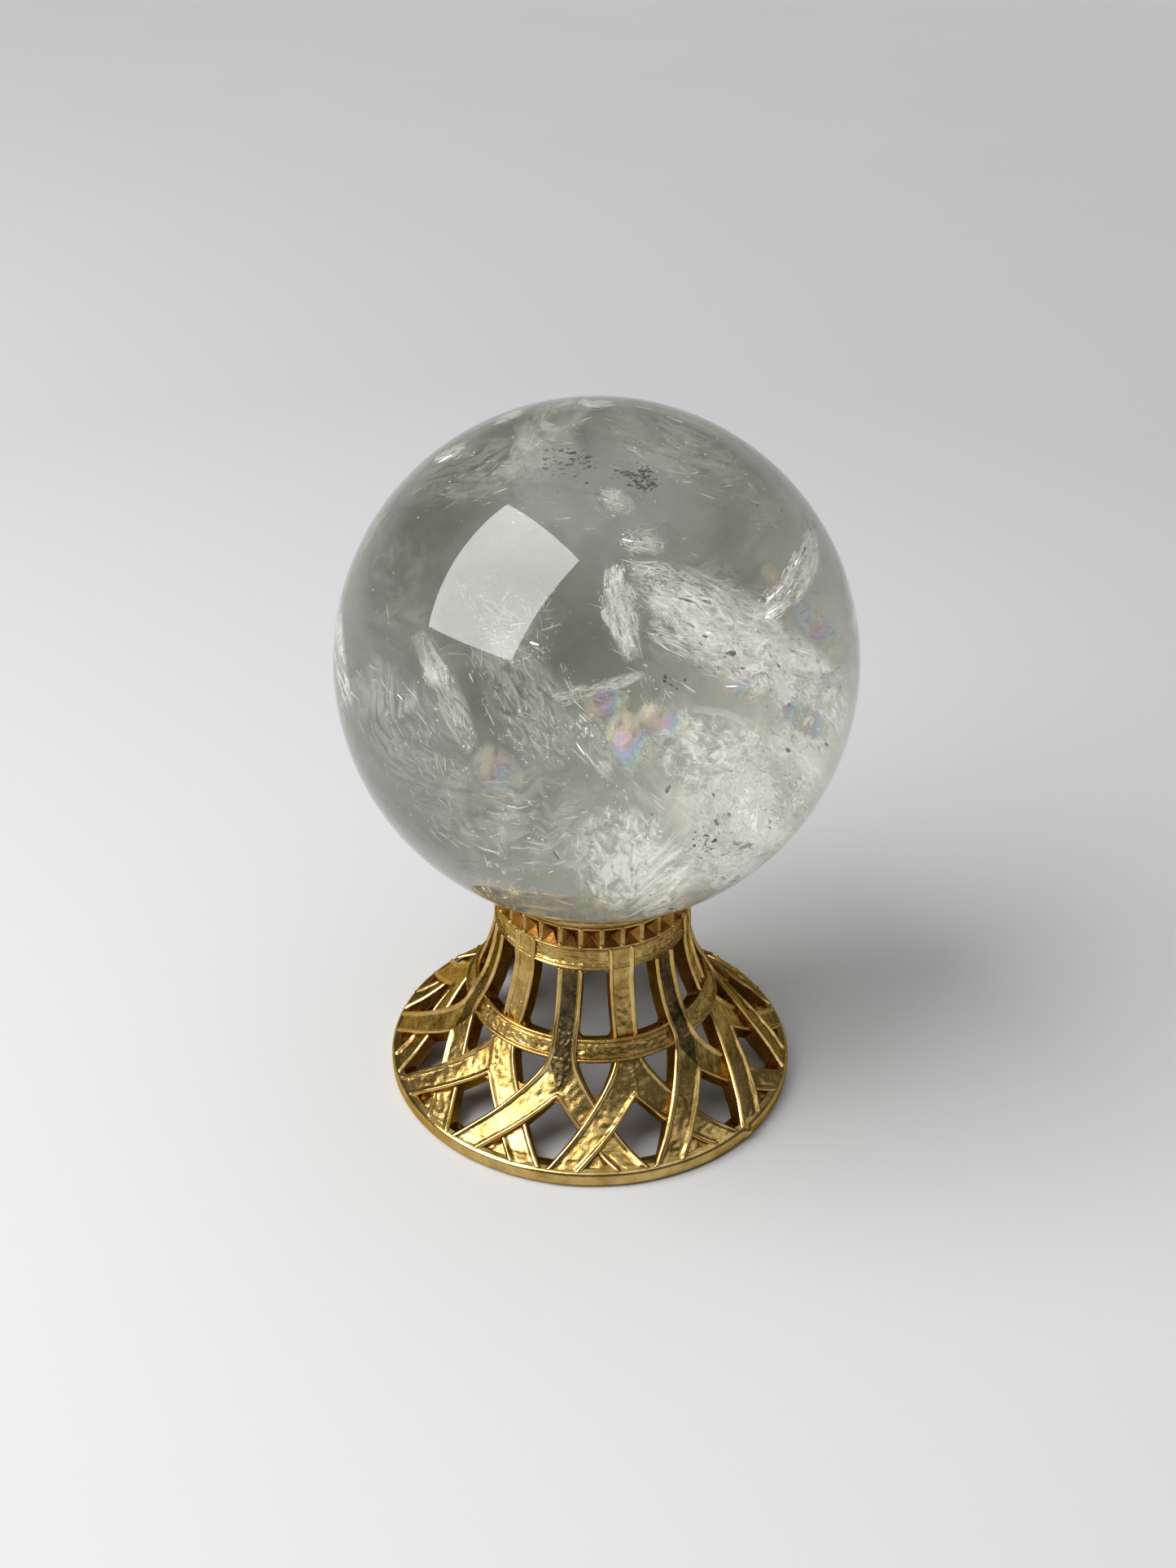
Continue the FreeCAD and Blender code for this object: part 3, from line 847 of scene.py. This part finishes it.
def flakes_mesh(name, flakes, material, seed):
    """Thin flakes, each a flat double pyramid with an uneven outline. A flake is (point, along, across,
    length, width)."""
    draw = random.Random(seed)
    vertices, faces = [], []
    for point, along, across, length, width in flakes:
        along = Vector(along).normalized()
        normal = along.cross(Vector(across)).normalized()
        tip = Vector([draw.gauss(0, 0.35) for _ in range(3)])
        normal = (normal + tip).normalized()
        side = normal.cross(along).normalized()
        along = side.cross(normal)
        turn = draw.uniform(0, 2 * math.pi)
        ring = range(len(vertices), len(vertices) + FLAKE_CORNERS)
        for k in range(FLAKE_CORNERS):
            angle = turn + 2 * math.pi * (k + draw.uniform(-0.3, 0.3)) / FLAKE_CORNERS
            grow = draw.uniform(0.5, 1.0)
            corner = math.cos(angle) * length * along + math.sin(angle) * width * side
            vertices.append(point + grow * corner)
        vertices += [point + s * 0.12 * width * normal for s in (1, -1)]
        for a, b in neighbours(ring):
            faces += [(a, b, ring.stop), (b, a, ring.stop + 1)]
    return new_piece(name, vertices, faces, [material], smooth=False)


def scattered(sheet, count, length, thin, seed, patchy=0.15):
    """Flakes spread over a sheet in patches. thin is a flake's width as a share of its length."""
    draw = random.Random(seed)
    made = []
    for _ in range(TRIES_PER_FLAKE * count):
        if len(made) == count:
            break
        along, across = draw.random(), draw.random()
        point, d_along, d_across = sheet.at(along, across)
        keep = math.sin(math.pi * along) * math.sin(math.pi * across)
        patch = noise.fractal(Vector(point) / (2.5 * MM) + Vector((seed, 0, 0)), 1.0, 2.0, 3)
        if patch < patchy - 0.3 * keep:
            continue
        size = length * math.exp(min(draw.gauss(0, 0.5), 0.7))
        point = Vector(point) + Vector([draw.gauss(0, 0.25 * MM) for _ in range(3)])
        if (point - BALL_CENTRE).length + size <= FLAKE_ROOM * BALL_RADIUS:
            made.append((point, d_along, d_across, size, size * thin))
    return made


def veil_material(name, colour, grain, stretch, limits, strength, fine=0.72, painted_glow=0.0):
    """A see-through fracture: streaks of white where noise, stretched along the sheet, is high, and a faint
    painted glow.
    """
    n = Nodes(bpy.data.materials.new(name))
    uv = n.sheet_place()
    scaled = n.node("ShaderNodeMapping", {"Vector": uv, "Scale": (1 / stretch, 1, 1)}).outputs["Vector"]
    streak = n.noise(grain, 6.0, fine, distortion=1.1, place=scaled)
    raw = n.plus(n.times(streak, 0.75), n.times(n.noise(5.0 * MM, 3.0), 0.25))
    raw = n.plus(raw, n.times(n.noise(3.0, 2.0, place=uv), 0.02))
    pattern = n.ramp(raw, [(limits[0], 0.0), (limits[1], 1.0)])
    n.set(Alpha=n.times(pattern, n.point_value("cover"), strength))
    n.set(Base_Color=n.ramp(streak, [(0.35, tuple(0.75 * c for c in colour)), (0.6, colour)]), Roughness=0.35)
    # Painted light: the veils glow faintly though they are no lamps.
    n.set(Emission_Color=(1.0, 1.0, 0.96, 1), Emission_Strength=painted_glow)
    return n.owner


FILM_BANDS = [
    (0.0, (0.97, 0.91, 0.66)),
    (0.2, (0.97, 0.73, 0.62)),
    (0.38, (0.86, 0.64, 0.86)),
    (0.55, (0.50, 0.62, 0.94)),
    (0.72, (0.66, 0.93, 0.92)),
    (1.0, (0.97, 0.91, 0.66)),
]


def film_material():
    """The rainbow of a fracture thin enough for colours, in bands that follow one another along it."""
    n = Nodes(bpy.data.materials.new("rainbow_film"))
    uv = n.sheet_place()
    run = n.node("ShaderNodeSeparateXYZ", {"Vector": uv}).outputs["X"]
    phase = n.math("FRACT", n.plus(n.times(run, 0.20), n.times(n.noise(2.4, 2.0, place=uv), 1.5)))
    ragged = n.ramp(n.noise(1.3, 5.0, 0.65, place=uv), [(0.36, 0.0), (0.52, 1.0)])
    n.set(Base_Color=n.ramp(phase, FILM_BANDS), Roughness=0.25)
    n.set(Alpha=n.times(ragged, n.point_value("cover"), 0.7))
    return n.owner


def flake_material(name, light, dark, metallic, roughness):
    n = Nodes(bpy.data.materials.new(name))
    n.set(Base_Color=n.ramp(n.noise(1.5 * MM, 3.0), [(0.35, dark), (0.65, light)]), Metallic=metallic)
    n.set(Roughness=n.ramp(n.noise(0.8 * MM, 2.0), [(0.3, roughness[0]), (0.7, roughness[1])]))
    return n.owner


# Each feather is (start, middle, end, half width, depths, strength, flakes), seen at the ball's front.
FEATHERS = [
    ((0.10, 0.28), (0.45, 0.20), (0.88, -0.10), 0.13, (0.30, 0.42), 0.9, 380),
    ((0.18, 0.12), (0.50, 0.02), (0.90, -0.06), 0.10, (0.28, 0.36), 0.9, 300),
    ((0.05, 0.30), (0.08, 0.14), (0.13, -0.03), 0.06, (0.25, 0.30), 1.0, 90),
    ((0.76, 0.47), (0.78, 0.30), (0.58, 0.14), 0.05, (0.20, 0.30), 1.0, 160),
    ((-0.96, 0.22), (-0.965, 0.02), (-0.90, -0.20), 0.035, (0.10, 0.16), 1.0, 60),
    ((-0.66, 0.10), (-0.55, -0.12), (-0.46, -0.36), 0.06, (0.35, 0.45), 0.45, 50),
    ((-0.88, -0.05), (-0.66, -0.30), (-0.55, -0.62), 0.20, (0.30, 0.50), 0.28, 60),
    ((-0.42, 0.06), (-0.22, -0.14), (-0.16, -0.42), 0.16, (0.45, 0.60), 0.32, 50),
    ((0.93, 0.44), (0.96, 0.28), (0.95, 0.10), 0.04, (0.08, 0.14), 0.8, 70),
    ((0.52, -0.36), (0.72, -0.44), (0.84, -0.60), 0.14, (0.22, 0.34), 0.9, 260),
    ((0.00, 0.55), (0.06, 0.53), (0.12, 0.48), 0.045, (0.14, 0.18), 0.30, 70),
    ((0.09, 0.39), (0.16, 0.37), (0.24, 0.36), 0.045, (0.14, 0.18), 0.30, 70),
    ((-0.08, 0.93), (-0.02, 0.90), (0.05, 0.92), 0.03, (0.10, 0.14), 0.9, 60),
    ((-0.38, 0.85), (-0.32, 0.87), (-0.28, 0.90), 0.025, (0.10, 0.14), 0.9, 40),
    ((-0.60, 0.70), (-0.54, 0.72), (-0.48, 0.76), 0.03, (0.12, 0.16), 0.7, 30),
    ((0.66, -0.06), (0.78, -0.12), (0.90, -0.04), 0.04, (0.10, 0.16), 1.0, 120),
    ((-0.16, -0.15), (0.0, -0.13), (0.18, -0.05), 0.03, (0.34, 0.40), 0.7, 40),
]
# Clouds have the same columns. The strong ones are milky and the others are mist.
MILKY_STRENGTH = 0.9
CLOUDS = [
    ((0.34, -0.46), (0.60, -0.62), (0.72, -0.66), 0.26, (0.10, 0.34), 1.0, 220),
    ((-0.06, -0.62), (0.16, -0.80), (0.40, -0.86), 0.22, (0.12, 0.40), 1.0, 160),
    ((0.20, -0.28), (0.50, -0.40), (0.80, -0.44), 0.20, (0.20, 0.50), 0.9, 240),
    ((0.20, 0.40), (0.60, 0.36), (0.92, 0.22), 0.20, (0.60, 0.72), 0.50, 90),
    ((-0.62, -0.50), (-0.30, -0.64), (0.04, -0.60), 0.24, (0.50, 0.64), 0.30, 60),
    ((-0.74, 0.56), (-0.82, 0.26), (-0.76, -0.02), 0.20, (0.35, 0.55), 0.14, 4),
    ((-0.60, 0.66), (-0.10, 0.80), (0.50, 0.66), 0.20, (0.55, 0.75), 0.20, 30),
    ((-0.70, 0.10), (-0.40, 0.30), (-0.10, 0.30), 0.22, (0.66, 0.80), 0.22, 15),
    ((-0.10, 0.88), (0.30, 0.78), (0.72, 0.52), 0.16, (0.20, 0.35), 0.22, 40),
    ((-0.72, 0.56), (-0.40, 0.72), (-0.05, 0.74), 0.15, (0.20, 0.34), 0.18, 20),
    ((0.18, 0.20), (0.38, 0.12), (0.62, 0.02), 0.11, (0.16, 0.26), 0.9, 60),
    ((0.62, 0.02), (0.78, -0.14), (0.86, -0.34), 0.18, (0.08, 0.26), 0.9, 200),
    ((0.30, -0.72), (0.52, -0.78), (0.66, -0.70), 0.12, (0.06, 0.20), 1.0, 200),
    ((0.30, 0.02), (0.56, -0.06), (0.84, -0.02), 0.12, (0.10, 0.28), 0.9, 200),
]
FLAKES_ON_OTHERS = 30
FILMS = [
    ((0.06, -0.22), (0.12, -0.30), (0.16, -0.42), 0.075, (0.16, 0.20), 1.0),
    ((-0.05, -0.20), (0.03, -0.18), (0.12, -0.17), 0.05, (0.16, 0.19), 0.8),
    ((0.14, -0.21), (0.22, -0.25), (0.33, -0.27), 0.06, (0.18, 0.21), 0.7),
    ((0.42, -0.04), (0.50, -0.12), (0.60, -0.15), 0.07, (0.16, 0.20), 0.6),
    ((0.62, -0.17), (0.74, -0.22), (0.85, -0.27), 0.06, (0.12, 0.16), 0.8),
    ((0.64, 0.20), (0.80, 0.11), (0.93, -0.02), 0.07, (0.10, 0.14), 0.6),
    ((0.58, 0.32), (0.62, 0.26), (0.66, 0.18), 0.04, (0.14, 0.18), 0.6),
    ((-0.42, -0.34), (-0.34, -0.42), (-0.28, -0.52), 0.08, (0.20, 0.26), 0.45),
]
# Dark specks are (right, up, spread, count, size in millimetres).
SPECKS = [
    (0.13, 0.61, 0.075, 160, 0.26),
    (-0.10, 0.67, 0.10, 90, 0.20),
    (0.20, -0.57, 0.025, 8, 0.16),
    (0.80, 0.50, 0.05, 24, 0.20),
    (0.27, -0.11, 0.04, 26, 0.20),
    (0.40, -0.65, 0.05, 30, 0.25),
    (-0.48, -0.75, 0.03, 8, 0.18),
    (0.62, 0.50, 0.10, 12, 0.12),
    (-0.60, 0.50, 0.10, 8, 0.10),
    (-0.74, 0.20, 0.06, 6, 0.10),
]


def ball_piece(piece):
    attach(piece, BODY_BALL)
    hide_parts("crystal_ball")


def far_sheets(count, seed, turns, out_to, depths, strengths):
    """Fractures set at random out to a share of the ball's radius, and turned about the upright axis by
    angles between two limits in degrees."""
    draw = random.Random(seed)
    made = []
    for _ in range(count):
        angle, reach = draw.uniform(0, 2 * math.pi), out_to * math.sqrt(draw.random())
        start = np.array([reach * math.cos(angle), reach * math.sin(angle) - 0.25])
        heading = draw.gauss(-0.9, 0.5)
        end = start + draw.uniform(0.2, 0.6) * np.array([math.cos(heading), math.sin(heading)])
        middle = (start + end) / 2 + [draw.gauss(0, 0.08), draw.gauss(0, 0.08)]
        depth = draw.uniform(*depths)
        made.append(Sheet(start, middle, end, draw.uniform(0.05, 0.18), (depth, depth + draw.gauss(0, 0.05)),
                          draw.uniform(*strengths), tilt=draw.gauss(0, 0.06),
                          turn=math.radians(draw.uniform(*turns))))
    return made


def core_material():
    n = Nodes(bpy.data.materials.new("cloudy_quartz"))
    mottle = n.noise(6 * MM, 6.0, 0.6, distortion=0.8)
    speckle = n.noise(1.2 * MM, 5.0, 0.7)
    tone = n.plus(n.times(mottle, 0.55), n.times(speckle, 0.25))
    # Painted light: the tone turns white towards the lower right, where the ball gathers the window's light.
    tone = n.plus(tone, n.times(n.point_value("painted_caustic_light"), 0.42))
    tones = [(0.32, (0.26, 0.265, 0.225)), (0.58, (0.38, 0.38, 0.34)), (0.78, (0.95, 0.95, 0.90))]
    n.set(Base_Color=n.ramp(tone, tones), Roughness=0.6)
    n.set(Alpha=n.times(n.point_value("cover"), n.ramp(mottle, [(0.3, 0.75), (0.6, 1.0)])))
    return n.owner


def cloudy_core():
    """The misty inside of the quartz: a crumpled closed skin, thick on its far side and thin on its near
    one. Its cover attribute is how thick it is, and a second attribute is painted light, whiter towards the
    lower right where the ball gathers the window's light."""
    work = bmesh.new()
    bmesh.ops.create_icosphere(work, subdivisions=6, radius=1.0)
    piece = smooth_piece("cloudy_core", work, core_material())
    mesh = piece.data
    unit = np.array([v.co for v in mesh.vertices])
    crumple = fractal(unit, 0.5, 4, offset=2.0)
    shape = unit * (1 + 0.07 * crumple)[:, None] * (0.66, 0.66, 0.52) + (0, 0, -0.12)
    mesh.vertices.foreach_set("co", from_eye(shape).ravel())
    point_values(mesh, "cover", 0.12 + 0.80 * (1 - smooth_step(-0.35, 0.35, unit[:, 2])))
    # Painted light: a pool of light on the core's lower right, where the ball focuses the window's light.
    point_values(mesh, "painted_caustic_light", smooth_step(-0.2, 1.0, 0.6 * unit[:, 0] - 0.75 * unit[:, 1]))
    return piece


def build_ball():
    """The polished ball and everything inside it."""
    work = bmesh.new()
    bmesh.ops.create_uvsphere(work, u_segments=192, v_segments=96, radius=BALL_RADIUS,
                              matrix=Matrix.Translation(BALL_CENTRE))
    ball_piece(smooth_piece("polished_ball", work, crystal()))
    ball_piece(cloudy_core())

    feathers = [Sheet(*row[:6]) for row in FEATHERS]
    clouds = [Sheet(*row[:6], tilt=0.06) for row in CLOUDS]
    others = far_sheets(12, 7, (0, 0), 0.85, (0.45, 0.85), (0.10, 0.30))
    others += far_sheets(30, 8, (165, 195), 0.50, (0.03, 0.12), (0.4, 0.8))
    long_streaks = veil_material("feather_veil", (0.99, 1.0, 0.97), 0.5, 4.5, (0.45, 0.56), 1.0, painted_glow=0.10)
    mist = veil_material("cloud_veil", (0.99, 1.0, 0.96), 1.1, 1.8, (0.42, 0.60), 0.95, fine=0.64)
    milk = veil_material("milky_veil", (1.0, 1.0, 0.98), 1.5, 1.6, (0.45, 0.60), 1.0, fine=0.62, painted_glow=0.22)
    milky = [sheet for sheet, row in zip(clouds, CLOUDS) if row[5] >= MILKY_STRENGTH]
    misty = [sheet for sheet, row in zip(clouds, CLOUDS) if row[5] < MILKY_STRENGTH]
    ball_piece(sheets_mesh("feather_fractures", feathers, long_streaks))
    ball_piece(sheets_mesh("cloud_fractures", misty + others, mist))
    ball_piece(sheets_mesh("milky_fractures", milky, milk))
    ball_piece(sheets_mesh("rainbow_fractures", [Sheet(*row) for row in FILMS], film_material()))

    slivers, wisps, crumbs = [], [], []
    counts = [row[6] for row in FEATHERS + CLOUDS] + [FLAKES_ON_OTHERS] * len(others)
    for number, (sheet, count) in enumerate(zip(feathers + clouds + others, counts)):
        slivers += scattered(sheet, count // 2, 0.45 * MM, 0.09, seed=number)
        wisps += scattered(sheet, count, 0.60 * MM, 0.07, seed=200 + number)
        crumbs += scattered(sheet, 2 * count, 0.10 * MM, 0.6, seed=100 + number, patchy=0.05)
    for number, sheet in enumerate(milky + feathers[:4]):
        slivers += scattered(sheet, 24, 0.75 * MM, 0.30, seed=400 + number)
    specks = []
    for number, (right, up, spread, count, size) in enumerate(SPECKS):
        cluster = Sheet((right - spread, up), (right, up - 0.3 * spread), (right + spread, up), 0.7 * spread,
                        (0.07, 0.12), 1.0)
        specks += scattered(cluster, count, size * MM, 0.5, seed=300 + number, patchy=-0.2)

    bright = flake_material("bright_flake", (0.97, 0.98, 0.97), (0.80, 0.82, 0.78), 1.0, (0.05, 0.25))
    matt = flake_material("matt_flake", (0.97, 0.97, 0.94), (0.80, 0.80, 0.76), 0.0, (0.4, 0.7))
    dark = flake_material("dark_speck", (0.11, 0.10, 0.08), (0.03, 0.03, 0.025), 0.0, (0.5, 0.8))
    ball_piece(flakes_mesh("bright_slivers", slivers, bright, seed=1))
    ball_piece(flakes_mesh("matt_crumbs", crumbs, matt, seed=2))
    ball_piece(flakes_mesh("matt_wisps", wisps, matt, seed=4))
    ball_piece(flakes_mesh("dark_specks", specks, dark, seed=3))


build_ball()


# ---- floor, light and camera ----

FLOOR_HALF = 3.0
# The sky's brightness by the sine of the angle above the horizon.
SKY = [(0.10, (0.45, 0.45, 0.46)), (0.24, 0.12), (0.68, 0.12), (0.95, (1.30, 1.31, 1.33))]
# Where the eye is before it goes round by its azimuth, and how far it is rolled.
EYE_PLACE = (-0.00077, -0.19898, 0.16240)
EYE_ROLL = math.radians(0.857)


def floor():
    n = Nodes(bpy.data.materials.new("pale_floor"))
    distance = n.node("ShaderNodeVectorMath", {0: n.place}, operation="LENGTH").outputs["Value"]
    # Painted light: the floor grows paler with distance from the middle, evening out the lamp's falloff.
    far = n.ramp(distance, [(0.25, 0.50), (1.0, 0.95)])
    mottle = n.times(n.noise(60 * MM, 3.0), 0.15)
    n.set(Base_Color=n.mix(mottle, far, (0.5, 0.5, 0.5, 1)), Roughness=0.75)
    mesh = bpy.data.meshes.new("floor")
    corners = [(x * FLOOR_HALF, y * FLOOR_HALF, 0) for x, y in ((-1, -1), (1, -1), (1, 1), (-1, 1))]
    mesh.from_pydata(corners, [], [(0, 1, 2, 3)])
    mesh.materials.append(n.owner)
    linked("floor", mesh)


def world_light():
    """Plain light from all round: soft at the horizon, a dark band over it, and bright overhead."""
    n = Nodes(bpy.data.worlds.new("studio"), place="Generated", shader="Background")
    level = n.node("ShaderNodeSeparateXYZ", {"Vector": n.place}).outputs["Z"]
    n.set(Color=n.ramp(level, SKY), Strength=1.0)
    scene.world = n.owner


def area_light(name, direction, distance, width, height, power, across):
    """A rectangular lamp that faces the ball, with its width lying along the direction across."""
    lamp = bpy.data.lights.new(name, "AREA")
    lamp.shape = "RECTANGLE"
    lamp.size, lamp.size_y = width, height
    lamp.energy = power
    back = Vector(direction).normalized()
    x_axis = (Vector(across) - back * back.dot(Vector(across))).normalized()
    facing = Matrix((x_axis, back.cross(x_axis), back)).transposed().to_4x4()
    linked(name, lamp).matrix_world = Matrix.Translation(BALL_CENTRE + back * distance) @ facing


floor()
world_light()
area_light("window", direction=(-0.557, -0.417, 0.718), distance=0.6, width=0.50, height=0.57, power=6.6,
           across=(0.47, -0.5, 0.12))

camera_data = bpy.data.cameras.new("camera")
camera_data.lens = 45.0
camera_data.sensor_width = 36.0
camera_data.clip_start = 0.01
camera = linked("camera", camera_data)
place = Matrix.Rotation(EYE_AZIMUTH, 4, "Z") @ Matrix.Translation(EYE_PLACE)
camera.matrix_world = place @ Matrix.Rotation(EYE_TILT, 4, "X") @ Matrix.Rotation(EYE_ROLL, 4, "Z")
scene.camera = camera
scene.view_settings.view_transform = "Standard"
scene.cycles.transparent_max_bounces = 64
